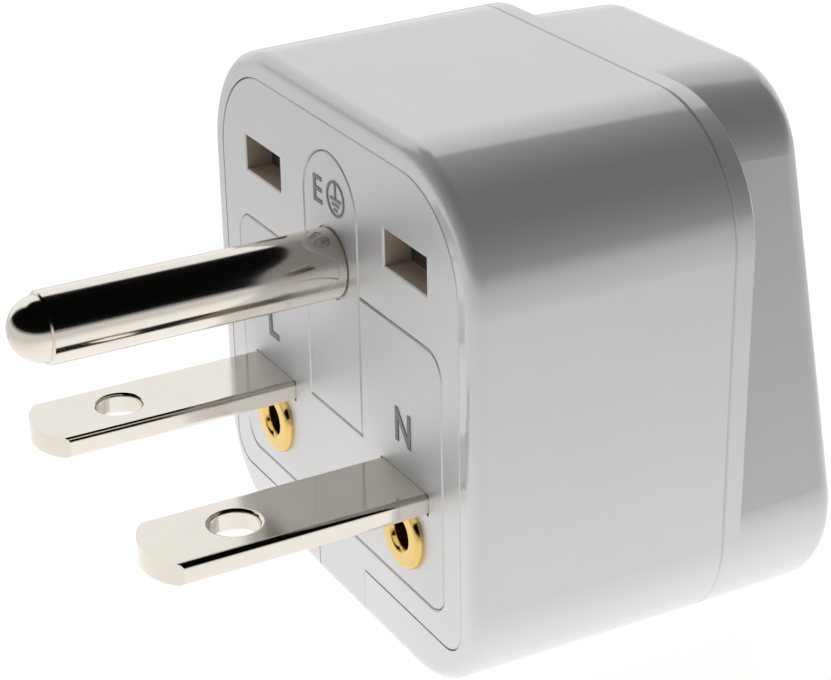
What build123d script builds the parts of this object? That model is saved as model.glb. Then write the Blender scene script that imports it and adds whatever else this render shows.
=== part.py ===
from build123d import *
from math import cos, radians, sin
import os

os.makedirs("parts", exist_ok=True)

# Driving sizes in millimetres. X runs across the pins, Y from the pins to the sockets, Z up.
# The origin is the centre of the base, which is flat and lies at Z 0.

# casing
casing_width = 37.6
casing_height = 37.1
casing_depth = 28.3
wall = 2.0
side_draft = 0.3
top_draft = 0.25
top_corner = 8.8
base_corner = 7.75
front_round = 1.0
front_depth = 18.8
band_depth = 1.55
seam_bevel = 0.12
rim_bevel = 0.2
lip_depth = 2.0
lip_wall = 1.2

# neck of the rear shell
neck_slant = 14.15
neck_corner = 6.6
neck_drop = 0.35
rear_round = 1.5
face_wall = 2.0

# gaps between pieces
joint_gap = 0.15
face_gap = 0.06
slide_gap = 0.3
press_gap = 0.02
edge_break = 0.1

# pin plate
plate_half = 16.74
plate_base = 3.75
plate_top_margin = 2.07
plate_thickness = 2.0
plate_top_corner = 6.8
plate_base_corner = 2.2
tab_half = 3.46
seat_ledge = 0.9
seat_wall = 1.6

# latch windows of the plate, and the hooks behind them
window_inner = 7.38
window_outer = 12.89
window_drop = 7.2
window_height = 2.52
latch_bar_height = 1.4
latch_bar_inner = 5.2
hook_thickness = 1.2
hook_catch = 0.9
hook_tip = 1.2

# line and neutral block
block_half = 14.52
block_base = 5.84
block_window_gap = 3.57
block_corner = 1.6
block_depth = 6.0
flange_width = 0.8
flange_thickness = 1.4

# earth block
tongue_half = 3.75
tongue_base = 14.26
tongue_drop = 2.03

# pins
earth_pin_height = 25.4
earth_pin_diameter = 4.8
earth_pin_length = 22.3
earth_tip_length = 2.1
earth_ring_step = 0.24
earth_ring_bevel = 0.12
earth_hole_recess = 0.15
earth_seat_diameter = 4.0
earth_tail_diameter = 3.0
blade_spacing = 19.05
blade_height = 13.2
blade_width = 6.35
blade_thickness = 1.52
blade_length = 18.3
blade_nose = 1.5
blade_edge_round = 0.38
blade_hole_diameter = 3.2
blade_hole_round = 0.25
blade_hole_reach = 12.0
blade_foot_base = 6.5

# hollow rivets
rivet_height = 9.8
rivet_flange_diameter = 5.1
rivet_flange_thickness = 0.55
rivet_barrel_diameter = 3.2
rivet_bore_diameter = 2.2
rivet_tail_diameter = 3.8
rivet_tail_thickness = 0.5

# sockets in the rear face
socket_height = 8.4
socket_round_diameter = 5.4
socket_round_spacing = 19.0
socket_bar_width = 7.2
socket_bar_height = 4.8
socket_bar_spacing = 22.2
socket_blade_width = 2.3
socket_blade_height = 7.4
socket_blade_spacing = 12.7
socket_slant_spacing = 13.7
socket_slant = 30
socket_slant_length = 7.4
socket_slant_width = 2.0
earth_round_rise = 11.9
earth_round_diameter = 5.4
earth_bar_drop = 6.5
earth_bar_width = 4.8
earth_bar_height = 8.2
earth_slot_width = 2.6

# contacts
contact_thickness = 0.8
contact_half_gap = 4.2
contact_pinch_half = 1.75
contact_mouth_half = 3.0
contact_mouth_depth = 23.4
contact_pinch_depth = 19.6
contact_shoulder_depth = 13.4
contact_bend = 0.5
line_contact_reach = 10.55
line_contact_width = 6.6
blade_leaf_reach = 5.0
blade_leaf_height = 5.2
earth_contact_base = 18.2
earth_contact_drop = 4.5
earth_washer_diameter = 6.0
earth_washer_thickness = 0.6
earth_head_diameter = 4.4
earth_head_thickness = 0.8

# contact carrier
carrier_front = 10.2
carrier_thickness = 2.0
rib_thickness = 1.2
rib_height = 15.0
rib_half = 12.6
rib_end = 23.8

# shell screws
screw_reach = 12.4
screw_height = 19.5
screw_shank_diameter = 2.9
screw_head_diameter = 5.0
screw_head_height = 1.6
screw_length = 12.0
screw_recess_width = 0.8
screw_recess_depth = 0.9
lug_thickness = 1.9
lug_radius = 2.9
boss_radius = 2.4

# Values worked out from the driving sizes
face_y = -casing_depth / 2
half_width = casing_width / 2
plate_top = casing_height - plate_top_margin
window_base = plate_top - window_drop
block_top = window_base - block_window_gap
tongue_top = plate_top - tongue_drop
earth_contact_top = casing_height - earth_contact_drop
neck_front = front_depth + band_depth
seat_back = plate_thickness + seat_wall
blade_x = blade_spacing / 2
foot_back = block_depth + blade_thickness
line_contact_front = foot_back
earth_contact_front = block_depth
lug_front = carrier_front - joint_gap - lug_thickness
carrier_back = carrier_front + carrier_thickness
socket_bar_x = socket_bar_spacing / 2
earth_round_z = socket_height + earth_round_rise
earth_bar_z = casing_height - earth_bar_drop


def across(depth):
    """The plane that lies across Y, a given depth behind the pin face."""
    return Plane.XZ.offset(-(face_y + depth))


def casing_section(depth, inset=0.0):
    """The casing's rounded outline at one depth, drawn in by inset."""
    short = max(front_depth - depth, 0) / front_depth
    half = half_width - side_draft * short - inset
    top = casing_height - top_draft * short - inset
    with BuildSketch(across(depth)) as section:
        with BuildLine():
            Polyline((-half, inset), (half, inset), (half, top), (-half, top), close=True)
        make_face()
        fillet(section.vertices().group_by(Axis.Y)[-1], top_corner - inset)
        fillet(section.vertices().group_by(Axis.Y)[0], base_corner - inset)
    return section.sketch


def rounded_along(box, top_radius, base_radius):
    """Rounds the four long edges of a box that runs along Y."""
    fillet(box.edges().group_by(Axis.Y)[1].group_by(Axis.Z)[0], base_radius)
    fillet(box.edges().group_by(Axis.Y)[1].group_by(Axis.Z)[-1], top_radius)


def casing_body(front, back, inset=0.0):
    """The casing between two depths, drawn in by inset: its sides and top draw in towards the pins."""
    front_short = (front_depth - front) / front_depth
    back_short = (front_depth - back) / front_depth
    front_half = half_width - side_draft * front_short - inset
    back_half = half_width - side_draft * back_short - inset
    front_top = casing_height - top_draft * front_short - inset
    back_top = casing_height - top_draft * back_short - inset
    front_y = face_y + front
    back_y = face_y + back
    with BuildPart() as body:
        with BuildSketch(Plane.XY.offset(inset)) as plan:
            with BuildLine():
                Polyline(
                    (-front_half, front_y),
                    (front_half, front_y),
                    (back_half, back_y),
                    (-back_half, back_y),
                    close=True,
                )
            make_face()
        extrude(plan.sketch, amount=casing_height)
        with BuildSketch(Plane.YZ) as profile:
            with BuildLine():
                Polyline((front_y, 0), (back_y, 0), (back_y, back_top), (front_y, front_top), close=True)
            make_face()
        extrude(profile.sketch, amount=casing_width, both=True, mode=Mode.INTERSECT)
        rounded_along(body, top_corner - inset, base_corner - inset)
    return body.part


def neck_body(front, back, inset=0.0):
    """The neck between two depths: slanted sides that run into the casing's base corners."""
    slant = radians(neck_slant)
    reach = (half_width - base_corner) * cos(slant) + base_corner * sin(slant) + base_corner - inset
    base_half = (reach - inset * sin(slant)) / cos(slant)
    top_half = (reach - casing_height * sin(slant)) / cos(slant)
    drop_rate = neck_drop / (casing_depth - neck_front)
    front_top = casing_height - drop_rate * max(front - neck_front, 0) - inset
    back_top = casing_height - drop_rate * (back - neck_front) - inset
    with BuildPart() as body:
        with BuildSketch(across(front)) as section:
            with BuildLine():
                Polyline(
                    (-base_half, inset),
                    (base_half, inset),
                    (top_half, casing_height),
                    (-top_half, casing_height),
                    close=True,
                )
            make_face()
        extrude(section.sketch, amount=-(back - front))
        with BuildSketch(Plane.YZ) as profile:
            with BuildLine():
                Polyline(
                    (face_y + front, 0),
                    (face_y + back, 0),
                    (face_y + back, back_top),
                    (face_y + front, front_top),
                    close=True,
                )
            make_face()
        extrude(profile.sketch, amount=casing_width, both=True, mode=Mode.INTERSECT)
        rounded_along(body, neck_corner - inset, base_corner - inset)
    return body.part


def plate_outline(depth, grow=0.0):
    """The pin plate's rounded outline without its tab, grown by a gap or drawn in."""
    half = plate_half + grow
    base = plate_base - grow
    top = plate_top + grow
    with BuildSketch(across(depth)) as outline:
        with BuildLine():
            Polyline((-half, base), (half, base), (half, top), (-half, top), close=True)
        make_face()
        fillet(outline.vertices().group_by(Axis.Y)[-1], plate_top_corner + grow)
        fillet(outline.vertices().group_by(Axis.Y)[0], plate_base_corner + grow)
    return outline.sketch


def tab_outline(depth, grow=0.0):
    """The tab that runs from the plate down to the base."""
    with BuildSketch(across(depth)) as outline:
        with Locations((0, (plate_base + 1) / 2)):
            Rectangle(2 * (tab_half + grow), plate_base + 1)
    return outline.sketch


def block_outline(depth, grow=0.0):
    """The line and neutral block's outline before the earth block's notch."""
    with BuildSketch(across(depth)) as outline:
        with Locations((0, (block_base + block_top) / 2)):
            RectangleRounded(2 * (block_half + grow), block_top - block_base + 2 * grow, block_corner + grow)
    return outline.sketch


def tongue_outline(depth, grow=0.0):
    """The earth block's outline: straight sides, a flat foot and an arched top."""
    half = tongue_half + grow
    spring = tongue_top - tongue_half
    with BuildSketch(across(depth)) as outline:
        with BuildLine():
            Polyline((-half, spring), (-half, tongue_base - grow), (half, tongue_base - grow), (half, spring))
            RadiusArc((half, spring), (-half, spring), -half)
        make_face()
    return outline.sketch


def mirrored_places(reach, height):
    """The two places at one reach each side of the middle."""
    return Locations((reach, height), (-reach, height))


# Front shell: a sleeve with a frame round the pin plate, a seat behind it and two screw lugs
with BuildPart() as front_shell:
    add(casing_body(0, front_depth))
    fillet(front_shell.faces().sort_by(Axis.Y)[0].edges(), front_round)
    add(casing_body(seat_back, front_depth, wall), mode=Mode.SUBTRACT)
    chamfer(front_shell.faces().sort_by(Axis.Y)[-1].outer_wire().edges(), seam_bevel)
    extrude(plate_outline(0, face_gap), amount=-plate_thickness, mode=Mode.SUBTRACT)
    extrude(tab_outline(0, face_gap), amount=-plate_thickness, mode=Mode.SUBTRACT)
    with BuildSketch(across(plate_thickness)) as seat_opening:
        add(plate_outline(plate_thickness, -seat_ledge))
        with mirrored_places((latch_bar_inner + plate_half) / 2, window_base + latch_bar_height / 2):
            Rectangle(plate_half - latch_bar_inner, latch_bar_height, mode=Mode.SUBTRACT)
    extrude(seat_opening.sketch, amount=-seat_wall, mode=Mode.SUBTRACT)
    with BuildSketch(across(lug_front)) as lugs:
        lug_outer = half_width - side_draft - wall / 2
        with mirrored_places(screw_reach, screw_height):
            Circle(lug_radius)
        with mirrored_places((screw_reach + lug_outer) / 2, screw_height):
            Rectangle(lug_outer - screw_reach, 2 * lug_radius)
        with mirrored_places(screw_reach, screw_height):
            Circle(screw_shank_diameter / 2 + joint_gap, mode=Mode.SUBTRACT)
    extrude(lugs.sketch, amount=-lug_thickness)
front_shell.part.label = "front_shell"
export_step(front_shell.part, "parts/front_shell.step")

# Pin plate: flush in the frame, open for the two blocks, with windows and the hooks they form
with BuildPart() as pin_plate:
    extrude(plate_outline(0), amount=-plate_thickness)
    extrude(tab_outline(0), amount=-plate_thickness)
    tab_foot = pin_plate.edges().filter_by(Axis.X).group_by(Axis.Z)[0].sort_by(Axis.Y)[0]
    fillet(tab_foot, front_round)
    extrude(block_outline(0, face_gap), amount=-plate_thickness, mode=Mode.SUBTRACT)
    extrude(tongue_outline(0, face_gap), amount=-plate_thickness, mode=Mode.SUBTRACT)
    window_x = (window_inner + window_outer) / 2
    window_width = window_outer - window_inner
    with BuildSketch(across(0)) as windows:
        with mirrored_places(window_x, window_base + window_height / 2):
            Rectangle(window_width, window_height)
    extrude(windows.sketch, amount=-plate_thickness, mode=Mode.SUBTRACT)
    chamfer(pin_plate.faces().sort_by(Axis.Y)[0].edges(), edge_break)
    hook_top = window_base - joint_gap
    hook_back = seat_back + joint_gap
    with BuildSketch(Plane.YZ.offset(window_x)) as hook_profile:
        with BuildLine():
            Polyline(
                (face_y + plate_thickness, hook_top - hook_thickness),
                (face_y + hook_back + hook_tip, hook_top - hook_thickness),
                (face_y + hook_back + hook_tip, hook_top),
                (face_y + hook_back, hook_top + hook_catch),
                (face_y + hook_back, hook_top),
                (face_y + plate_thickness, hook_top),
                close=True,
            )
        make_face()
    extrude(hook_profile.sketch, amount=window_width / 2, both=True)
    with BuildSketch(Plane.YZ.offset(-window_x)) as other_hook_profile:
        add(hook_profile.sketch_local)
    extrude(other_hook_profile.sketch, amount=window_width / 2, both=True)
pin_plate.part.label = "pin_plate"
export_step(pin_plate.part, "parts/pin_plate.step")

# Line and neutral block: carries both blades, notched for the earth block
with BuildPart() as line_neutral_block:
    extrude(block_outline(0), amount=-block_depth)
    extrude(block_outline(plate_thickness, flange_width), amount=-flange_thickness)
    extrude(tongue_outline(0, face_gap), amount=-plate_thickness, mode=Mode.SUBTRACT)
    chamfer(line_neutral_block.faces().sort_by(Axis.Y)[0].edges(), edge_break)
    extrude(
        tongue_outline(plate_thickness, flange_width + joint_gap),
        amount=-(block_depth - plate_thickness),
        mode=Mode.SUBTRACT,
    )
    with BuildSketch(across(0)) as blade_slots:
        with mirrored_places(blade_x, blade_height):
            Rectangle(blade_width + 2 * press_gap, blade_thickness + 2 * press_gap)
        with mirrored_places(blade_x, rivet_height):
            Circle(rivet_barrel_diameter / 2 + press_gap)
    extrude(blade_slots.sketch, amount=-block_depth, mode=Mode.SUBTRACT)
line_neutral_block.part.label = "line_neutral_block"
export_step(line_neutral_block.part, "parts/line_neutral_block.step")

# Earth block: the arched insert round the earth pin
with BuildPart() as earth_block:
    extrude(tongue_outline(0), amount=-block_depth)
    chamfer(earth_block.faces().sort_by(Axis.Y)[0].edges(), edge_break)
    extrude(tongue_outline(plate_thickness, flange_width), amount=-flange_thickness)
    with BuildSketch(across(0)) as pin_hole:
        with Locations((0, earth_pin_height)):
            Circle(earth_seat_diameter / 2 + press_gap)
    extrude(pin_hole.sketch, amount=-block_depth, mode=Mode.SUBTRACT)
    with BuildSketch(across(0)) as hole_mouth:
        with Locations((0, earth_pin_height)):
            Circle(earth_pin_diameter / 2 + earth_hole_recess)
    extrude(hole_mouth.sketch, amount=-earth_hole_recess, mode=Mode.SUBTRACT)
earth_block.part.label = "earth_block"
export_step(earth_block.part, "parts/earth_block.step")


def blade(side, name):
    """A flat blade with a bowed tip, a hole, and a foot bent down behind the block."""
    low = blade_height - blade_thickness / 2
    high = blade_height + blade_thickness / 2
    tip_y = face_y - blade_length
    middle = side * blade_x
    half = blade_width / 2
    with BuildPart() as pin:
        with BuildSketch(Plane.XY.offset(low)) as plan:
            with BuildLine():
                Polyline(
                    (middle - half, tip_y + blade_nose),
                    (middle - half, face_y + foot_back),
                    (middle + half, face_y + foot_back),
                    (middle + half, tip_y + blade_nose),
                )
                ThreePointArc(
                    (middle + half, tip_y + blade_nose),
                    (middle, tip_y),
                    (middle - half, tip_y + blade_nose),
                )
            make_face()
            with Locations((middle, face_y - blade_hole_reach)):
                Circle(blade_hole_diameter / 2, mode=Mode.SUBTRACT)
        extrude(plan.sketch, amount=blade_thickness)
        hole_edges = pin.edges().filter_by(GeomType.CIRCLE).filter_by(
            lambda edge: edge.radius < half
        )
        fillet(hole_edges, blade_hole_round)
        fillet(pin.edges().filter_by(Axis.Y), blade_edge_round)
        with BuildSketch(across(block_depth)) as foot:
            with Locations((middle, (blade_foot_base + high) / 2)):
                Rectangle(blade_width, high - blade_foot_base)
            with Locations((middle, rivet_height)):
                Circle(rivet_barrel_diameter / 2 + press_gap, mode=Mode.SUBTRACT)
        extrude(foot.sketch, amount=-blade_thickness)
        bend = pin.edges().filter_by(Axis.X).group_by(Axis.Z)[-1].sort_by(Axis.Y)[-1]
        fillet(bend, blade_thickness / 2)
    pin.part.label = name
    return pin.part


for side, name in ((-1, "line_blade"), (1, "neutral_blade")):
    export_step(blade(side, name), f"parts/{name}.step")

# Earth pin: a turned pin with a ring step and a domed tip, its tail riveted over the washer
with BuildPart() as earth_pin:
    earth_head_depth = earth_contact_front + contact_thickness + earth_washer_thickness
    with BuildSketch(Plane.YZ) as earth_profile:
        with BuildLine():
            tip_start = face_y - earth_pin_length + earth_tip_length
            tip_radius = earth_pin_diameter / 2 - earth_ring_step
            tip_sphere = (earth_tip_length**2 + tip_radius**2) / (2 * earth_tip_length)
            Polyline(
                (tip_start - earth_tip_length, earth_pin_height),
                (face_y + earth_head_depth + earth_head_thickness, earth_pin_height),
                (face_y + earth_head_depth + earth_head_thickness, earth_pin_height + earth_head_diameter / 2),
                (face_y + earth_head_depth, earth_pin_height + earth_head_diameter / 2),
                (face_y + earth_head_depth, earth_pin_height + earth_tail_diameter / 2),
                (face_y + earth_contact_front, earth_pin_height + earth_tail_diameter / 2),
                (face_y + earth_contact_front, earth_pin_height + earth_seat_diameter / 2),
                (face_y + earth_hole_recess, earth_pin_height + earth_seat_diameter / 2),
                (face_y + earth_hole_recess, earth_pin_height + earth_pin_diameter / 2),
                (tip_start + earth_ring_bevel, earth_pin_height + earth_pin_diameter / 2),
                (tip_start, earth_pin_height + earth_pin_diameter / 2 - earth_ring_bevel),
                (tip_start, earth_pin_height + tip_radius),
            )
            RadiusArc(
                (tip_start, earth_pin_height + tip_radius),
                (tip_start - earth_tip_length, earth_pin_height),
                -tip_sphere,
            )
        make_face()
    revolve(earth_profile.sketch, axis=Axis((0, 0, earth_pin_height), (0, 1, 0)))
earth_pin.part.label = "earth_pin"
export_step(earth_pin.part, "parts/earth_pin.step")


def rivet(side, name):
    """A hollow rivet: a rolled head on the block's face and a tail set over the contact."""
    tail_depth = line_contact_front + contact_thickness
    bore = rivet_height + rivet_bore_diameter / 2
    barrel = rivet_height + rivet_barrel_diameter / 2
    head = rivet_height + rivet_flange_diameter / 2
    tail = rivet_height + rivet_tail_diameter / 2
    with BuildPart() as turned:
        with BuildSketch(Plane.YZ.offset(side * blade_x)) as profile:
            with BuildLine():
                Polyline(
                    (face_y - rivet_flange_thickness, bore),
                    (face_y + tail_depth + rivet_tail_thickness, bore),
                    (face_y + tail_depth + rivet_tail_thickness, tail),
                    (face_y + tail_depth, tail),
                    (face_y + tail_depth, barrel),
                    (face_y, barrel),
                    (face_y, head),
                    (face_y - rivet_flange_thickness, head),
                    close=True,
                )
            make_face()
            fillet(profile.vertices().group_by(Axis.X)[0], rivet_flange_thickness * 0.8)
        revolve(profile.sketch, axis=Axis((side * blade_x, 0, rivet_height), (0, 1, 0)))
    turned.part.label = name
    return turned.part


for side, name in ((-1, "line_rivet"), (1, "neutral_rivet")):
    export_step(rivet(side, name), f"parts/{name}.step")


def clip_outline(plane, start_depth, centre):
    """A bent strip in section: a base, two arms that pinch together, and a flared mouth."""
    base_y = face_y + start_depth + contact_thickness
    inner = contact_half_gap - contact_thickness / 2
    half_path = [
        (face_y + contact_mouth_depth, contact_mouth_half),
        (face_y + contact_pinch_depth, contact_pinch_half),
        (face_y + contact_shoulder_depth, inner),
        (base_y, inner),
    ]
    path = [(y, centre + reach) for y, reach in half_path]
    path += [(y, centre - reach) for y, reach in reversed(half_path)]
    with BuildSketch(plane) as outline:
        with BuildLine():
            FilletPolyline(*path, radius=contact_bend)
            offset(amount=contact_thickness, side=Side.RIGHT)
        make_face()
    return outline.sketch


def line_contact(side, name):
    """The brass contact behind one line or neutral opening, with a leaf for flat blades."""
    with BuildPart() as contact:
        middle = side * line_contact_reach
        outline = clip_outline(Plane.YZ.offset(middle), line_contact_front, socket_height)
        extrude(outline, amount=line_contact_width / 2, both=True)
        with BuildSketch(Plane.XY.offset(socket_height)) as leaf:
            with BuildLine():
                base_y = face_y + line_contact_front + contact_thickness
                FilletPolyline(
                    (side * line_contact_reach, base_y),
                    (side * (blade_leaf_reach - contact_thickness / 4), base_y),
                    (side * blade_leaf_reach, face_y + contact_pinch_depth),
                    (side * (blade_leaf_reach - contact_thickness), face_y + contact_mouth_depth),
                    radius=contact_bend,
                )
                offset(amount=contact_thickness, side=Side.LEFT if side > 0 else Side.RIGHT)
            make_face()
        extrude(leaf.sketch, amount=blade_leaf_height / 2, both=True)
        with BuildSketch(across(line_contact_front)) as rivet_hole:
            with Locations((side * blade_x, rivet_height)):
                Circle(rivet_barrel_diameter / 2 + press_gap)
        extrude(rivet_hole.sketch, amount=-contact_thickness, mode=Mode.SUBTRACT)
    contact.part.label = name
    return contact.part


for side, name in ((-1, "line_contact"), (1, "neutral_contact")):
    export_step(line_contact(side, name), f"parts/{name}.step")

# Earth contact: the same bent strip turned on its side, clamped behind the earth block
with BuildPart() as earth_contact:
    earth_plane = Plane(origin=(0, 0, earth_contact_base), x_dir=(0, 1, 0), z_dir=(0, 0, 1))
    extrude(clip_outline(earth_plane, earth_contact_front, 0), amount=earth_contact_top - earth_contact_base)
    with BuildSketch(across(earth_contact_front)) as tail_hole:
        with Locations((0, earth_pin_height)):
            Circle(earth_tail_diameter / 2 + press_gap)
    extrude(tail_hole.sketch, amount=-contact_thickness, mode=Mode.SUBTRACT)
earth_contact.part.label = "earth_contact"
export_step(earth_contact.part, "parts/earth_contact.step")

# Earth washer under the riveted tail
with BuildPart() as earth_washer:
    with BuildSketch(across(earth_contact_front + contact_thickness)) as ring:
        with Locations((0, earth_pin_height)):
            Circle(earth_washer_diameter / 2)
            Circle(earth_tail_diameter / 2 + press_gap, mode=Mode.SUBTRACT)
    extrude(ring.sketch, amount=-earth_washer_thickness)
earth_washer.part.label = "earth_washer"
export_step(earth_washer.part, "parts/earth_washer.step")

# Contact carrier: a plate across the casing with windows for the contacts and ribs between them
with BuildPart() as contact_carrier:
    extrude(casing_section(carrier_front, wall + slide_gap), amount=-carrier_thickness)
    with BuildSketch(across(carrier_front)) as carrier_holes:
        window_half = contact_half_gap + contact_thickness / 2 + slide_gap
        leaf_edge = blade_leaf_reach - 2 * contact_thickness
        outer_edge = line_contact_reach + line_contact_width / 2 + slide_gap
        with mirrored_places((leaf_edge + outer_edge) / 2, socket_height):
            Rectangle(outer_edge - leaf_edge, 2 * window_half)
        with Locations((0, (earth_contact_base + earth_contact_top) / 2)):
            Rectangle(2 * window_half, earth_contact_top - earth_contact_base + 2 * slide_gap)
        with mirrored_places(screw_reach, screw_height):
            Circle(screw_shank_diameter / 2 + joint_gap)
    extrude(carrier_holes.sketch, amount=-carrier_thickness, mode=Mode.SUBTRACT)
    with BuildSketch(across(carrier_back)) as ribs:
        rib_base = wall + joint_gap + lip_wall + slide_gap
        with Locations((0, rib_height + rib_thickness / 2)):
            Rectangle(2 * rib_half, rib_thickness)
        with Locations((0, (rib_base + rib_height) / 2)):
            Rectangle(rib_thickness, rib_height - rib_base)
    extrude(ribs.sketch, amount=-(rib_end - carrier_back))
contact_carrier.part.label = "contact_carrier"
export_step(contact_carrier.part, "parts/contact_carrier.step")


def socket_openings(depth):
    """The universal openings: round pins, flat blades upright and slanted, and square bars."""
    with BuildSketch(across(depth)) as openings:
        with mirrored_places(socket_round_spacing / 2, socket_height):
            Circle(socket_round_diameter / 2)
        with mirrored_places(socket_bar_x, socket_height):
            Rectangle(socket_bar_width, socket_bar_height)
        with mirrored_places(socket_blade_spacing / 2, socket_height):
            Rectangle(socket_blade_width, socket_blade_height)
        for side in (-1, 1):
            with Locations((side * socket_slant_spacing / 2, socket_height)):
                Rectangle(socket_slant_width, socket_slant_length, rotation=-side * socket_slant)
        with Locations((0, earth_round_z)):
            Circle(earth_round_diameter / 2)
        with Locations((0, (earth_round_z + earth_bar_z) / 2)):
            Rectangle(earth_slot_width, earth_bar_z - earth_round_z)
        with Locations((0, earth_bar_z)):
            Rectangle(earth_bar_width, earth_bar_height)
    return openings.sketch


# Rear shell: a band flush with the casing, a lip inside the front shell, the neck and its socket face
with BuildPart() as rear_shell:
    add(neck_body(front_depth + seam_bevel, casing_depth))
    fillet(rear_shell.faces().sort_by(Axis.Y)[-1].edges(), rear_round)
    with BuildPart(mode=Mode.PRIVATE) as band:
        extrude(casing_section(front_depth), amount=-band_depth)
        chamfer(band.faces().sort_by(Axis.Y)[0].edges(), seam_bevel)
        chamfer(band.faces().sort_by(Axis.Y)[-1].edges(), rim_bevel)
    add(band.part)
    add(neck_body(front_depth, casing_depth - face_wall, wall), mode=Mode.SUBTRACT)
    with BuildSketch(across(front_depth - lip_depth)) as lip:
        add(casing_section(front_depth - lip_depth, wall + joint_gap))
        add(casing_section(front_depth - lip_depth, wall + joint_gap + lip_wall), mode=Mode.SUBTRACT)
    extrude(lip.sketch, amount=-lip_depth)
    with BuildSketch(across(carrier_back)) as bosses:
        with mirrored_places(screw_reach, screw_height):
            Circle(boss_radius)
    extrude(bosses.sketch, amount=-(casing_depth - face_wall - carrier_back))
    with BuildSketch(across(carrier_back)) as pilots:
        with mirrored_places(screw_reach, screw_height):
            Circle(screw_shank_diameter / 2 + press_gap)
    extrude(pilots.sketch, amount=-(lug_front + screw_length + slide_gap - carrier_back), mode=Mode.SUBTRACT)
    extrude(socket_openings(casing_depth - face_wall), amount=-face_wall, mode=Mode.SUBTRACT)
rear_shell.part.label = "rear_shell"
export_step(rear_shell.part, "parts/rear_shell.step")

# Shell screws: two pan-head screws, one group
with BuildPart() as shell_screws:
    with BuildSketch(across(lug_front - screw_head_height)) as heads:
        with mirrored_places(screw_reach, screw_height):
            Circle(screw_head_diameter / 2)
    extrude(heads.sketch, amount=-screw_head_height)
    chamfer(shell_screws.faces().group_by(Axis.Y)[0].edges(), screw_head_height / 2)
    with BuildSketch(across(lug_front)) as shanks:
        with mirrored_places(screw_reach, screw_height):
            Circle(screw_shank_diameter / 2)
    extrude(shanks.sketch, amount=-screw_length)
    with BuildSketch(across(lug_front - screw_head_height)) as recesses:
        with mirrored_places(screw_reach, screw_height):
            Rectangle(screw_recess_width, screw_head_diameter / 2)
            Rectangle(screw_head_diameter / 2, screw_recess_width)
    extrude(recesses.sketch, amount=-screw_recess_depth, mode=Mode.SUBTRACT)
shell_screws.part.label = "shell_screws"
export_step(shell_screws.part, "parts/shell_screws.step")
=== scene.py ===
# %% [markdown]
# # A travel plug adapter in Blender
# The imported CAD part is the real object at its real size, in metres, with +Z up and the pins
# pointing along -Y. This lesson dresses it: finishes for the moulded shells, the plated pins and
# the brass rivets, the small moulded marks on the pin side, and a light table like the one that
# such small products are photographed on.

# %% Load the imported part
import math

import bmesh
import bpy
from mathutils import Matrix, Vector


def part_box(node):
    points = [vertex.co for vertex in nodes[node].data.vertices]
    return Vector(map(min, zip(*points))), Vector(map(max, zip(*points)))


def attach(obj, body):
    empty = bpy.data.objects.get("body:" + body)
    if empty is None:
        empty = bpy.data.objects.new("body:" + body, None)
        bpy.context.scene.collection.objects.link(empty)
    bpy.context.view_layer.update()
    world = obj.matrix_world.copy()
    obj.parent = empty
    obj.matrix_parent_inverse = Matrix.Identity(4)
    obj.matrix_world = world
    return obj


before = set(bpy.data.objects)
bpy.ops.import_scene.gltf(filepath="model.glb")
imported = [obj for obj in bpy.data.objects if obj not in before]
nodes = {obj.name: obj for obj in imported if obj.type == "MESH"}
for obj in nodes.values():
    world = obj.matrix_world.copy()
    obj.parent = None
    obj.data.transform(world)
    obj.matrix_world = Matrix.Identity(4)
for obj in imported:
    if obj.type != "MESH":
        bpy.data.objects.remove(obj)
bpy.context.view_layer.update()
MM = 0.001
print("nodes:", sorted(nodes))

# %% [markdown]
# ## The camera
# The photograph looks down on the adapter from its front right. The place and the turn of the
# camera were fitted to the corners, seams and pins that the photograph shows, so they are plain
# numbers here. A camera looks along its own -Z, so its matrix holds the picture's right, the
# picture's up, and the direction back towards the viewer.

# %% Camera at the photograph's angle
CAMERA_PLACE = Vector((0.120304, -0.073395, 0.082195))
PICTURE_RIGHT = Vector((0.4843585, 0.87472141, -0.01610253))
PICTURE_DOWN = Vector((0.36298311, -0.21767282, -0.90601424))
LOOK = Vector((-0.79601514, 0.43299075, -0.42294078))
LENS_MM = 95.85
SENSOR_MM = 36.0
NEAREST_SEEN = 5 * MM

camera_data = bpy.data.cameras.new("photo_camera")
camera_data.lens = LENS_MM
camera_data.sensor_width = SENSOR_MM
camera_data.sensor_fit = "HORIZONTAL"
camera_data.clip_start = NEAREST_SEEN
camera = bpy.data.objects.new("photo_camera", camera_data)
bpy.context.scene.collection.objects.link(camera)
turn = Matrix((PICTURE_RIGHT, -PICTURE_DOWN, -LOOK)).transposed()
camera.matrix_world = Matrix.Translation(CAMERA_PLACE) @ turn.to_4x4()
bpy.context.scene.camera = camera
print("camera looks along", tuple(round(v, 3) for v in LOOK))


# %% [markdown]
# ## Helpers for materials
# A shader group is a small machine with named inputs and outputs. These helpers make one and
# wire nodes in it, so that each effect further down is a few short lines. They work in any node
# tree, so the floor and the world use them as well. A group puts out colours, masks and normals
# only; the Principled BSDF stays in the material itself.

# %% Helpers that make groups, nodes and links
def new_group(name, inputs, outputs):
    """An empty shader group with its sockets; each input is (name, kind, default)."""
    group = bpy.data.node_groups.new(name, "ShaderNodeTree")
    for socket_name, kind, default in inputs:
        socket = group.interface.new_socket(socket_name, in_out="INPUT", socket_type=f"NodeSocket{kind}")
        socket.default_value = default
    for socket_name, kind in outputs:
        group.interface.new_socket(socket_name, in_out="OUTPUT", socket_type=f"NodeSocket{kind}")
    return group, group.nodes.new("NodeGroupInput"), group.nodes.new("NodeGroupOutput")


def add_node(tree, kind, values=None, **settings):
    """A node with its settings and the values of its unlinked sockets."""
    node = tree.nodes.new(kind)
    for key, value in settings.items():
        setattr(node, key, value)
    for key, value in (values or {}).items():
        node.inputs[key].default_value = value
    return node


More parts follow.
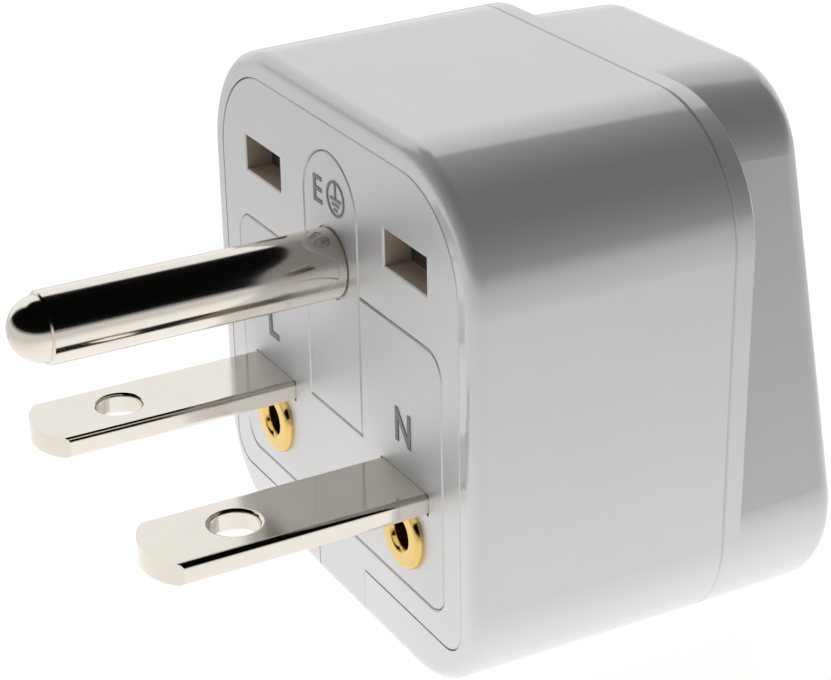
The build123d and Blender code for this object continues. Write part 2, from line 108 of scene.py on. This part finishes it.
def math_node(tree, operation, first, second, clamp=False):
    """One arithmetic step; each side is a number or an output socket."""
    node = add_node(tree, "ShaderNodeMath", operation=operation, use_clamp=clamp)
    for slot, side in enumerate((first, second)):
        if isinstance(side, (int, float)):
            node.inputs[slot].default_value = side
        else:
            tree.links.new(side, node.inputs[slot])
    return node.outputs[0]


def ramp(tree, value, span, levels, smooth=False):
    """Goes from the first level to the second while the value crosses the span."""
    limits = {"From Min": span[0], "From Max": span[1], "To Min": levels[0], "To Max": levels[1]}
    node = add_node(tree, "ShaderNodeMapRange", limits)
    node.interpolation_type = "SMOOTHSTEP" if smooth else "LINEAR"
    tree.links.new(value, node.inputs["Value"])
    return node.outputs["Result"]


# %% [markdown]
# ## What both surface groups put out
# Moulded plastic and drawn metal differ in the noise that they start from, but not in what is
# done with it. One helper makes the colour lighter or darker, one moves the gloss about its
# plain value, and one turns a noise into fine relief that the light picks up.

# %% Helpers for the outputs of a surface
SURFACE_OUTPUTS = [("Colour", "Color"), ("Roughness", "Float"), ("Normal", "Vector")]
MIDDLE = 0.5


def shaded_colour(group, inlet, outlet, shade):
    """Puts out the surface's colour, times a shade that stays near 1."""
    tint = add_node(group, "ShaderNodeVectorMath", operation="SCALE")
    group.links.new(inlet.outputs["Colour"], tint.inputs[0])
    group.links.new(shade, tint.inputs["Scale"])
    group.links.new(tint.outputs[0], outlet.inputs["Colour"])


def uneven_gloss(group, inlet, outlet, noise):
    """Puts out the surface's gloss, moved up and down by a noise."""
    dull = math_node(group, "SUBTRACT", noise, MIDDLE)
    dull = math_node(group, "MULTIPLY", dull, inlet.outputs["Gloss change"])
    dull = math_node(group, "ADD", dull, inlet.outputs["Gloss"], clamp=True)
    group.links.new(dull, outlet.inputs["Roughness"])


def fine_relief(group, inlet, outlet, noise, relief):
    """Puts out a normal that a noise tilts, as if it stood that many metres proud."""
    skin = add_node(group, "ShaderNodeBump", {"Distance": relief})
    group.links.new(inlet.outputs["Grain depth"], skin.inputs["Strength"])
    group.links.new(noise, skin.inputs["Height"])
    group.links.new(skin.outputs["Normal"], outlet.inputs["Normal"])


def noise_on(group, place, scale, detail, roughness):
    """A noise in the given coordinates; a larger scale makes finer grain."""
    noise = add_node(group, "ShaderNodeTexNoise", {"Detail": detail, "Roughness": roughness})
    group.links.new(place, noise.inputs["Vector"])
    if isinstance(scale, (int, float)):
        noise.inputs["Scale"].default_value = scale
    else:
        group.links.new(scale, noise.inputs["Scale"])
    return noise.outputs["Fac"]


print("surface outputs:", [name for name, kind in SURFACE_OUTPUTS])


# %% [markdown]
# ## Moulded surface
# A moulded part is never perfectly even. Its gloss wanders a little where the plastic cooled at
# different rates, its skin has a faint orange peel, and handling leaves it a touch duller in
# soft patches. An image could show that too, but it would need the mesh to be unwrapped. One
# group gives all three from object coordinates instead, so the grain has a real size.

# %% Group: moulded surface
PEEL_RELIEF = 0.02 * MM


def make_moulded_surface():
    group, inlet, outlet = new_group(
        "moulded_surface",
        [
            ("Colour", "Color", (0.8, 0.8, 0.8, 1.0)),
            ("Drift", "Float", 0.04),
            ("Gloss", "Float", 0.25),
            ("Gloss change", "Float", 0.06),
            ("Grain size", "Float", 0.6 * MM),
            ("Grain depth", "Float", 0.3),
        ],
        SURFACE_OUTPUTS,
    )
    place = add_node(group, "ShaderNodeTexCoord").outputs["Object"]
    patches = noise_on(group, place, scale=140.0, detail=3.0, roughness=0.55)
    shade = math_node(group, "SUBTRACT", patches, MIDDLE)
    shade = math_node(group, "MULTIPLY", shade, inlet.outputs["Drift"])
    shade = math_node(group, "ADD", shade, 1.0)
    shaded_colour(group, inlet, outlet, shade)
    smears = noise_on(group, place, scale=420.0, detail=4.0, roughness=0.6)
    uneven_gloss(group, inlet, outlet, smears)
    grain_scale = math_node(group, "DIVIDE", 1.0, inlet.outputs["Grain size"])
    peel = noise_on(group, place, grain_scale, detail=2.0, roughness=0.5)
    fine_relief(group, inlet, outlet, peel, PEEL_RELIEF)
    return group


moulded_surface = make_moulded_surface()
print("group:", moulded_surface.name)


# %% [markdown]
# ## Drawn metal
# The pins are drawn or rolled along their length and then plated, so their faint grain runs one
# way. Noise that is squeezed across the pin and stretched along it gives that grain. It moves
# the gloss a little, and a second, coarser noise darkens the plating in soft patches. Without
# them the pins would look like perfect mirrors, which plated pins never are.

# %% Group: drawn metal
STREAK_RELIEF = 0.004 * MM
STREAKS_PER_METRE = (9000.0, 260.0, 9000.0)


def make_drawn_metal():
    group, inlet, outlet = new_group(
        "drawn_metal",
        [
            ("Colour", "Color", (0.8, 0.8, 0.8, 1.0)),
            ("Patina", "Float", 0.1),
            ("Gloss", "Float", 0.12),
            ("Gloss change", "Float", 0.08),
            ("Grain depth", "Float", 0.2),
        ],
        SURFACE_OUTPUTS,
    )
    place = add_node(group, "ShaderNodeTexCoord").outputs["Object"]
    clouds = noise_on(group, place, scale=380.0, detail=4.0, roughness=0.6)
    shade = math_node(group, "MULTIPLY", clouds, inlet.outputs["Patina"])
    shade = math_node(group, "SUBTRACT", 1.0, shade)
    shaded_colour(group, inlet, outlet, shade)
    stretch = add_node(group, "ShaderNodeMapping", {"Scale": STREAKS_PER_METRE})
    group.links.new(place, stretch.inputs["Vector"])
    streaks = noise_on(group, stretch.outputs["Vector"], scale=1.0, detail=3.0, roughness=0.6)
    uneven_gloss(group, inlet, outlet, streaks)
    fine_relief(group, inlet, outlet, streaks, STREAK_RELIEF)
    return group


drawn_metal = make_drawn_metal()
print("group:", drawn_metal.name)


# %% [markdown]
# ## Painted shade box
# Light that gets into the latch windows bounces about between unpolished walls and comes out warm
# and brown, and deep in the shell hardly any comes back. That shade is painted into the colour.
# This group is a mask in the shape of a box with crisp sides, measured in object space, that
# tells those walls from the rest of the piece. It is the same on both sides of X 0. A second
# material on those faces would do the same, but would change the CAD mesh.

# %% Group: painted shade box
# A box mask that marks where shade is painted into a colour.
def make_painted_shade_box():
    group, inlet, outlet = new_group(
        "painted_shade_box",
        [("Low corner", "Vector", (0.0, 0.0, 0.0)), ("High corner", "Vector", (0.0, 0.0, 0.0))],
        [("Mask", "Float")],
    )
    place = add_node(group, "ShaderNodeTexCoord")
    here = add_node(group, "ShaderNodeSeparateXYZ")
    low = add_node(group, "ShaderNodeSeparateXYZ")
    high = add_node(group, "ShaderNodeSeparateXYZ")
    group.links.new(place.outputs["Object"], here.inputs[0])
    group.links.new(inlet.outputs["Low corner"], low.inputs[0])
    group.links.new(inlet.outputs["High corner"], high.inputs[0])
    mask = 1.0
    for axis in "XYZ":
        value = here.outputs[axis]
        if axis == "X":
            value = math_node(group, "ABSOLUTE", value, 0.0)
        over = math_node(group, "GREATER_THAN", value, low.outputs[axis])
        under = math_node(group, "LESS_THAN", value, high.outputs[axis])
        mask = math_node(group, "MULTIPLY", math_node(group, "MULTIPLY", over, under), mask)
    group.links.new(mask, outlet.inputs["Mask"])
    return group


painted_shade_box = make_painted_shade_box()
print("group:", painted_shade_box.name)


# %% [markdown]
# ## Finishes
# The shells are moulded in a pearl silver-grey under a glossy coat. A plain white plastic can't
# turn as deep a grey as their rounded edge does, so the satin pearl base is half metallic. It
# gives the soft change from bright to grey. The coat mirrors the room sharply, which draws the
# line where the white sweep ends above. The plate and the blocks have the pearl base without
# the coat. The pins are polished nickel, warm and mirror-like. The rivets are bare brass, and
# the brass strips, the screws and the hidden plastic are duller. The hidden plastic is painted
# a dark warm brown that stands in for the shade inside the shell.

# %% Finish materials
COAT_GLOSS = 0.09
COAT_IOR = 2.15


def new_material(name, group, group_values, metallic, coat=0.0):
    """A Principled material whose colour, gloss and skin come from one of the groups above."""
    material = bpy.data.materials.new(name)
    material.use_nodes = True
    tree = material.node_tree
    shader = tree.nodes["Principled BSDF"]
    surface = add_node(tree, "ShaderNodeGroup", group_values, node_tree=group)
    tree.links.new(surface.outputs["Colour"], shader.inputs["Base Color"])
    tree.links.new(surface.outputs["Roughness"], shader.inputs["Roughness"])
    tree.links.new(surface.outputs["Normal"], shader.inputs["Normal"])
    shader.inputs["Metallic"].default_value = metallic
    shader.inputs["Coat Weight"].default_value = coat
    shader.inputs["Coat Roughness"].default_value = COAT_GLOSS
    shader.inputs["Coat IOR"].default_value = COAT_IOR
    return material


def moulded(name, colour, gloss, metallic, grain=0.3, coat=0.0):
    """A moulded finish; part of its response can be metallic, as in pearl plastic."""
    values = {"Colour": (*colour, 1.0), "Gloss": gloss, "Grain depth": grain}
    return new_material(name, moulded_surface, values, metallic, coat)


def drawn(name, colour, gloss, change=0.08, grain=0.2):
    """A drawn, rolled or turned metal; change is how far its gloss wanders."""
    values = {"Colour": (*colour, 1.0), "Gloss": gloss, "Gloss change": change, "Grain depth": grain}
    return new_material(name, drawn_metal, values, metallic=1.0)


shell_finish = moulded("pearl_shell", (0.69, 0.697, 0.73), 0.58, 0.5, coat=1.0)
plate_finish = moulded("pearl_plate", (0.735, 0.733, 0.743), 0.46, 0.64, grain=0.5)
block_finish = moulded("pearl_block", (0.72, 0.718, 0.728), 0.48, 0.64, grain=0.6)
# Painted shade: the hidden inner plastic gets a dark warm brown for the shade inside the shell.
inner_painted_shade = moulded("inner_plastic", (0.42, 0.36, 0.31), 0.55, 0.0)
nickel = drawn("polished_nickel", (0.86, 0.815, 0.74), 0.12, change=0.1, grain=0.3)
rivet_brass = drawn("rivet_brass", (0.84, 0.60, 0.22), 0.15)
strip_brass = drawn("strip_brass", (0.80, 0.60, 0.30), 0.28)
screw_zinc = drawn("zinc_screw", (0.62, 0.62, 0.64), 0.3)
print("finishes made for the shells:", shell_finish.name, plate_finish.name, block_finish.name)

# %% [markdown]
# ## Finishes on the pieces
# Each CAD node keeps its own mesh and gets its finish through its material slots. The tie from
# node to finish is a table, so it reads like a parts list.

# %% Put each finish on its pieces
PIECES_OF = {
    shell_finish: ("front_shell", "rear_shell"),
    plate_finish: ("pin_plate",),
    block_finish: ("line_neutral_block", "earth_block"),
    inner_painted_shade: ("contact_carrier",),
    nickel: ("earth_pin", "line_blade", "neutral_blade"),
    rivet_brass: ("line_rivet", "neutral_rivet"),
    strip_brass: ("line_contact", "neutral_contact", "earth_contact", "earth_washer"),
    screw_zinc: ("shell_screws",),
}
for finish, node_names in PIECES_OF.items():
    for node_name in node_names:
        part = nodes[node_name]
        if not part.material_slots:
            part.data.materials.append(finish)
        for slot in part.material_slots:
            slot.material = finish
print("dressed", sum(len(node_names) for node_names in PIECES_OF.values()), "nodes")

# %% [markdown]
# ## Painted shade in the latch windows
# The plate's window walls are painted a warm, matt brown for the shade that falls in them, and the
# hollow of the shell behind them is painted nearly black for its deep shade. The painted shade box
# blends such a colour in within a box, and takes the metallic share and the coat away there, so
# that the inside doesn't shine. Depths are counted from the plate's face, and the windows' box
# ends a little past the plate's back.

# %% Paint shade on the window walls and the hollow behind them
# Painted shade: a warm brown on the window walls, nearly black in the hollow behind them.
PAINTED_WINDOW_SHADE = (0.42, 0.35, 0.28, 1.0)
PAINTED_HOLLOW_SHADE = (0.05, 0.04, 0.03, 1.0)
WINDOW_SIDES = (7.2 * MM, 13.1 * MM)
WINDOW_LEVELS = (27.6 * MM, 30.6 * MM)
WINDOW_START = 0.15 * MM
WINDOW_PAST_BACK = 1.0 * MM
HOLLOW_SIDES = (0.0, 15.4 * MM)
HOLLOW_LEVELS = (8.0 * MM, 32.0 * MM)
HOLLOW_START = 1.9 * MM
HOLLOW_END = 12.0 * MM


def paint_inside_shade(material, colour, sides, depths, levels):
    """Paints a box of a piece, from X 0 outwards on both sides, with a matt colour that stands in for
    shade.
    """
    tree = material.node_tree
    shader = tree.nodes["Principled BSDF"]
    low, high = zip(sides, depths, levels)
    mask = add_node(tree, "ShaderNodeGroup", node_tree=painted_shade_box)
    mask.inputs["Low corner"].default_value = low
    mask.inputs["High corner"].default_value = high
    polish = math_node(tree, "SUBTRACT", 1.0, mask.outputs["Mask"])
    for key in ("Metallic", "Coat Weight"):
        if shader.inputs[key].default_value > 0:
            share = math_node(tree, "MULTIPLY", polish, shader.inputs[key].default_value)
            tree.links.new(share, shader.inputs[key])
    surface_colour = shader.inputs["Base Color"].links[0].from_socket
    # Blends the painted shade colour over the surface colour inside the box.
    blend = add_node(tree, "ShaderNodeMix", data_type="RGBA")
    tree.links.new(mask.outputs["Mask"], blend.inputs["Factor"])
    tree.links.new(surface_colour, blend.inputs["A"])
    blend.inputs["B"].default_value = colour
    tree.links.new(blend.outputs["Result"], shader.inputs["Base Color"])


plate_low, plate_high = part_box("pin_plate")
window_depths = (plate_low.y + WINDOW_START, plate_high.y + WINDOW_PAST_BACK)
paint_inside_shade(plate_finish, PAINTED_WINDOW_SHADE, WINDOW_SIDES, window_depths, WINDOW_LEVELS)
hollow_depths = (plate_low.y + HOLLOW_START, plate_low.y + HOLLOW_END)
paint_inside_shade(shell_finish, PAINTED_HOLLOW_SHADE, HOLLOW_SIDES, hollow_depths, HOLLOW_LEVELS)
print("window walls from y", round(window_depths[0], 5), "to", round(window_depths[1], 5))

# %% [markdown]
# ## Moulded marks
# The pin side carries the terminal letters E, L and N and the earth sign, moulded a few
# hundredths of a millimetre proud of the blocks. They are painted a dark grey that stands in for
# the shade along their small strokes. They could be relief in the material only, but a real
# shape catches the light at its edges and stays in the exported model. Each mark is first a flat
# shape in its own units. One helper scales it to its real width and height and lays it on the
# face, so letters and sign sit at the same height and ride with the part.

# %% Lay a flat shape on the pin face
MARK_RELIEF = 0.05 * MM
MARK_ROOT = 0.01 * MM
pin_face_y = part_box("earth_block")[0].y
# Painted shade: the marks are a dark grey for the shade in their strokes.
mark_painted_shade = moulded("moulded_mark_painted_shade", (0.22, 0.22, 0.23), 0.45, 0.3)


def flat_mark(name, mesh, width, height, centre_x, centre_z):
    """Lays a thin shape on the pin face, scaled to the width and height that it has there."""
    xs = [v.co.x for v in mesh.vertices]
    ys = [v.co.y for v in mesh.vertices]
    middle_x = (min(xs) + max(xs)) / 2
    middle_y = (min(ys) + max(ys)) / 2
    for vertex in mesh.vertices:
        x = (vertex.co.x - middle_x) / (max(xs) - min(xs)) * width
        z = (vertex.co.y - middle_y) / (max(ys) - min(ys)) * height
        y = -MARK_RELIEF if vertex.co.z > 0 else MARK_ROOT
        vertex.co = Vector((centre_x + x, pin_face_y + y, centre_z + z))
    mark = bpy.data.objects.new(name, mesh)
    bpy.context.scene.collection.objects.link(mark)
    mesh.materials.append(mark_painted_shade)
    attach(mark, "root")
    return mark


print("marks stand", MARK_RELIEF / MM, "mm proud of y", round(pin_face_y, 5))

# %% [markdown]
# ## Letters
# A text object gives clean outlines of a plain typeface. Its offset makes the strokes stouter,
# as moulded letters are, and its extrusion gives them two faces to lay down.

# %% Raised letters
SHAPE_HALF = 0.02


def moulded_letter(name, text, height, width, centre_x, centre_z, stout):
    """A raised letter, its size and place in metres; stout is in the typeface's own units."""
    curve = bpy.data.curves.new(name, "FONT")
    curve.body = text
    curve.size = 1.0
    curve.extrude = SHAPE_HALF
    curve.offset = stout
    shape = bpy.data.objects.new(name, curve)
    bpy.context.scene.collection.objects.link(shape)
    bpy.context.view_layer.update()
    graph = bpy.context.evaluated_depsgraph_get()
    mesh = bpy.data.meshes.new_from_object(shape.evaluated_get(graph))
    bpy.data.objects.remove(shape)
    return flat_mark(name, mesh, width, height, centre_x, centre_z)


letters = [
    moulded_letter("letter_e", "E", 1.9 * MM, 1.2 * MM, -1.64 * MM, 30.05 * MM, stout=0.009),
    moulded_letter("letter_n", "N", 2.4 * MM, 2.0 * MM, 9.5 * MM, 17.35 * MM, stout=0.022),
    moulded_letter("letter_l", "L", 2.4 * MM, 1.5 * MM, -9.5 * MM, 17.35 * MM, stout=0.022),
]
print("letters:", [letter.name for letter in letters])

# %% [markdown]
# ## The earth sign
# The sign is a ring, a stem from its top and three bars that get shorter. It has straight
# strokes of even width, so it is quicker and cleaner to build it face by face with bmesh than
# to cut it from a solid. It is drawn in a circle of radius 1.

# %% Earth sign
RING_STROKE = 0.16
RING_STEPS = 40
STEM = (-0.08, 0.08, 0.02, 0.9)
BARS = ((-0.6, 0.6, -0.13, 0.03), (-0.4, 0.4, -0.41, -0.26), (-0.19, 0.19, -0.69, -0.54))


def both_faces(build, outline):
    """The vertices of an outline, on the sign's back and on its front."""
    low = [build.verts.new((x, y, -SHAPE_HALF)) for x, y in outline]
    high = [build.verts.new((x, y, SHAPE_HALF)) for x, y in outline]
    return low, high


def earth_sign(name, diameter, centre_x, centre_z):
    """The protective earth sign: a ring, a stem from its top and three shortening bars."""
    build = bmesh.new()
    for step in range(RING_STEPS):
        start = 2 * math.pi * step / RING_STEPS
        end = 2 * math.pi * (step + 1) / RING_STEPS
        corners = [(start, 1.0), (end, 1.0), (end, 1.0 - RING_STROKE), (start, 1.0 - RING_STROKE)]
        low, high = both_faces(build, [(math.cos(t) * r, math.sin(t) * r) for t, r in corners])
        build.faces.new(high[::-1])
        build.faces.new((low[0], high[0], high[1], low[1]))
        build.faces.new((low[2], high[2], high[3], low[3]))
    for left, right, foot, head in (STEM, *BARS):
        low, high = both_faces(build, [(left, foot), (right, foot), (right, head), (left, head)])
        build.faces.new(high)
        for side in range(4):
            after = (side + 1) % 4
            build.faces.new((low[side], low[after], high[after], high[side]))
    mesh = bpy.data.meshes.new(name)
    build.to_mesh(mesh)
    build.free()
    return flat_mark(name, mesh, diameter, diameter, centre_x, centre_z)


sign = earth_sign("earth_sign", 2.5 * MM, 0.9 * MM, 30.15 * MM)
print("earth sign:", len(sign.data.polygons), "faces")

# %% [markdown]
# ## The light table
# Small plated and glossy things are often shot on a glowing white table with a white sweep
# behind them, in an otherwise dark room. That is what draws the crisp black bands on the pins.
# The table is part matt white, which keeps the part's shadow, and part glow. It glows most under
# the part and less further out. The camera sees plain white, mirrors see a little more of the
# glow than the matt, and diffuse rays meet a stronger glow, as over a real light box.

# %% Floor
FLOOR_HALF = 0.6
TABLE_WHITE = (0.92, 0.92, 0.92, 1.0)
GLOW_COLOUR = (1.0, 0.985, 0.965, 1.0)
GLOW_SHARE = 0.7
GLOW_SHARE_SEEN = 0.88
GLOW_REACH = (28 * MM, 110 * MM)
PAD_GLOW = 1.15
OUTER_GLOW = 0.7
BOUNCE = 1.6
SEEN_WHITE = 1.1


def make_floor_mesh():
    mesh = bpy.data.meshes.new("floor")
    corners = [(x * FLOOR_HALF, y * FLOOR_HALF, 0) for x, y in ((-1, -1), (1, -1), (1, 1), (-1, 1))]
    mesh.from_pydata(corners, [], [(0, 1, 2, 3)])
    return mesh


def make_table_white():
    material = bpy.data.materials.new("table_white")
    material.use_nodes = True
    tree = material.node_tree
    tree.nodes.remove(tree.nodes["Principled BSDF"])
    matt = add_node(tree, "ShaderNodeBsdfDiffuse", {"Color": TABLE_WHITE})
    glow = add_node(tree, "ShaderNodeEmission", {"Color": GLOW_COLOUR})
    rays = add_node(tree, "ShaderNodeLightPath").outputs
    place = add_node(tree, "ShaderNodeTexCoord")
    reach = add_node(tree, "ShaderNodeVectorMath", operation="LENGTH")
    tree.links.new(place.outputs["Object"], reach.inputs[0])
    pad = ramp(tree, reach.outputs["Value"], GLOW_REACH, (PAD_GLOW, OUTER_GLOW), smooth=True)
    pad = math_node(tree, "MULTIPLY", pad, math_node(tree, "SUBTRACT", 1.0, rays["Is Camera Ray"]))
    bounce = math_node(tree, "MULTIPLY", rays["Is Diffuse Ray"], BOUNCE - 1.0)
    pad = math_node(tree, "MULTIPLY", pad, math_node(tree, "ADD", bounce, 1.0))
    seen_glow = math_node(tree, "MULTIPLY", rays["Is Camera Ray"], SEEN_WHITE)
    tree.links.new(math_node(tree, "ADD", pad, seen_glow), glow.inputs["Strength"])
    share = math_node(tree, "MAXIMUM", rays["Is Camera Ray"], rays["Is Glossy Ray"])
    share = math_node(tree, "MULTIPLY", share, GLOW_SHARE_SEEN - GLOW_SHARE)
    share = math_node(tree, "ADD", share, GLOW_SHARE)
    both = add_node(tree, "ShaderNodeMixShader")
    tree.links.new(share, both.inputs["Fac"])
    tree.links.new(matt.outputs[0], both.inputs[1])
    tree.links.new(glow.outputs[0], both.inputs[2])
    tree.links.new(both.outputs[0], tree.nodes["Material Output"].inputs["Surface"])
    return material


floor = bpy.data.objects.new("floor", make_floor_mesh())
floor.data.materials.append(make_table_white())
bpy.context.scene.collection.objects.link(floor)
print("floor half width", FLOOR_HALF, "m")

# %% [markdown]
# ## The room
# The world holds the sweep behind the part, which ends at a set height, a horizon that fades
# from the table into the dark, a little fill from low on the right that only matt surfaces
# meet, and a nearly black room above. The sweep is a soft box for diffuse rays, so that it
# lights the top of the part. Each part of the room is a ramp over the direction of the ray.

# %% World with a white sweep behind the object
SWEEP_HEADING = Vector((-0.88, 0.475))
SWEEP_SIDE = (0.45, 0.62)
SWEEP_TOP = (0.75, 0.78)
SOFTBOX = 3.4
HORIZON = (-0.03, 0.17)
FILL_SIDE = (0.1, 0.6)
FILL_HEIGHT = (0.0, 0.6)
SIDE_FILL = 0.8
DARK_ROOM = 0.002
WHITE = (1.0, 1.0, 1.0, 1.0)


def along_heading(tree, x, y, heading):
    """How well a ray's direction over the ground agrees with a heading, 1 at best."""
    level = math_node(tree, "MULTIPLY", x, x)
    level = math_node(tree, "ADD", level, math_node(tree, "MULTIPLY", y, y))
    level = math_node(tree, "POWER", level, 0.5)
    towards = math_node(tree, "MULTIPLY", x, heading.x)
    towards = math_node(tree, "ADD", towards, math_node(tree, "MULTIPLY", y, heading.y))
    return math_node(tree, "DIVIDE", towards, level)


def make_room():
    world = bpy.data.worlds.new("light_table_room")
    world.use_nodes = True
    tree = world.node_tree
    direction = add_node(tree, "ShaderNodeTexCoord")
    split = add_node(tree, "ShaderNodeSeparateXYZ")
    tree.links.new(direction.outputs["Generated"], split.inputs[0])
    x = split.outputs["X"]
    y = split.outputs["Y"]
    z = split.outputs["Z"]
    rays = add_node(tree, "ShaderNodeLightPath").outputs
    beside = ramp(tree, along_heading(tree, x, y, SWEEP_HEADING), SWEEP_SIDE, (0.0, 1.0))
    sweep = math_node(tree, "MULTIPLY", beside, ramp(tree, z, SWEEP_TOP, (1.0, 0.0)))
    softbox = math_node(tree, "MULTIPLY", rays["Is Diffuse Ray"], SOFTBOX - 1.0)
    sweep = math_node(tree, "MULTIPLY", sweep, math_node(tree, "ADD", softbox, 1.0))
    fill = math_node(tree, "MULTIPLY", ramp(tree, x, FILL_SIDE, (0.0, 1.0)), rays["Is Diffuse Ray"])
    fill = math_node(tree, "MULTIPLY", fill, ramp(tree, z, FILL_HEIGHT, (SIDE_FILL, 0.0)))
    light = math_node(tree, "MAXIMUM", sweep, fill)
    light = math_node(tree, "MAXIMUM", light, ramp(tree, z, HORIZON, (OUTER_GLOW, 0.0)))
    light = math_node(tree, "MAXIMUM", light, DARK_ROOM)
    light = math_node(tree, "MAXIMUM", light, rays["Is Camera Ray"])
    background = tree.nodes["Background"]
    background.inputs["Color"].default_value = WHITE
    tree.links.new(light, background.inputs["Strength"])
    return world


bpy.context.scene.world = make_room()
print("world:", bpy.context.scene.world.name)


# %% [markdown]
# ## Soft lamps
# Two soft lamps light the matt share of the surfaces, one from above the table and one in front
# of the pins. No mirror shows them, so the pins keep their clean bands.

# %% Two soft lamps
LAMP_AIM = Vector((0, 0, 15 * MM))


def soft_lamp(name, place, size, watts):
    """A round lamp of the given width, aimed at the middle of the part."""
    lamp_data = bpy.data.lights.new(name, "AREA")
    lamp_data.shape = "DISK"
    lamp_data.size = size
    lamp_data.energy = watts
    lamp = bpy.data.objects.new(name, lamp_data)
    bpy.context.scene.collection.objects.link(lamp)
    lamp.location = place
    lamp.rotation_euler = (LAMP_AIM - Vector(place)).to_track_quat("-Z", "Y").to_euler()
    lamp.visible_glossy = False
    return lamp


lamps = [
    soft_lamp("table_lamp", (-0.15, 0.0, 0.6), size=0.5, watts=0.4),
    soft_lamp("front_lamp", (-0.1, -0.45, 0.2), size=0.4, watts=0.6),
]
bpy.context.scene.view_settings.view_transform = "Standard"
print("lamps:", [lamp.name for lamp in lamps])

# %% [markdown]
# ## The end
# The last step brings the scene up to date.

# %% Finish
bpy.context.view_layer.update()
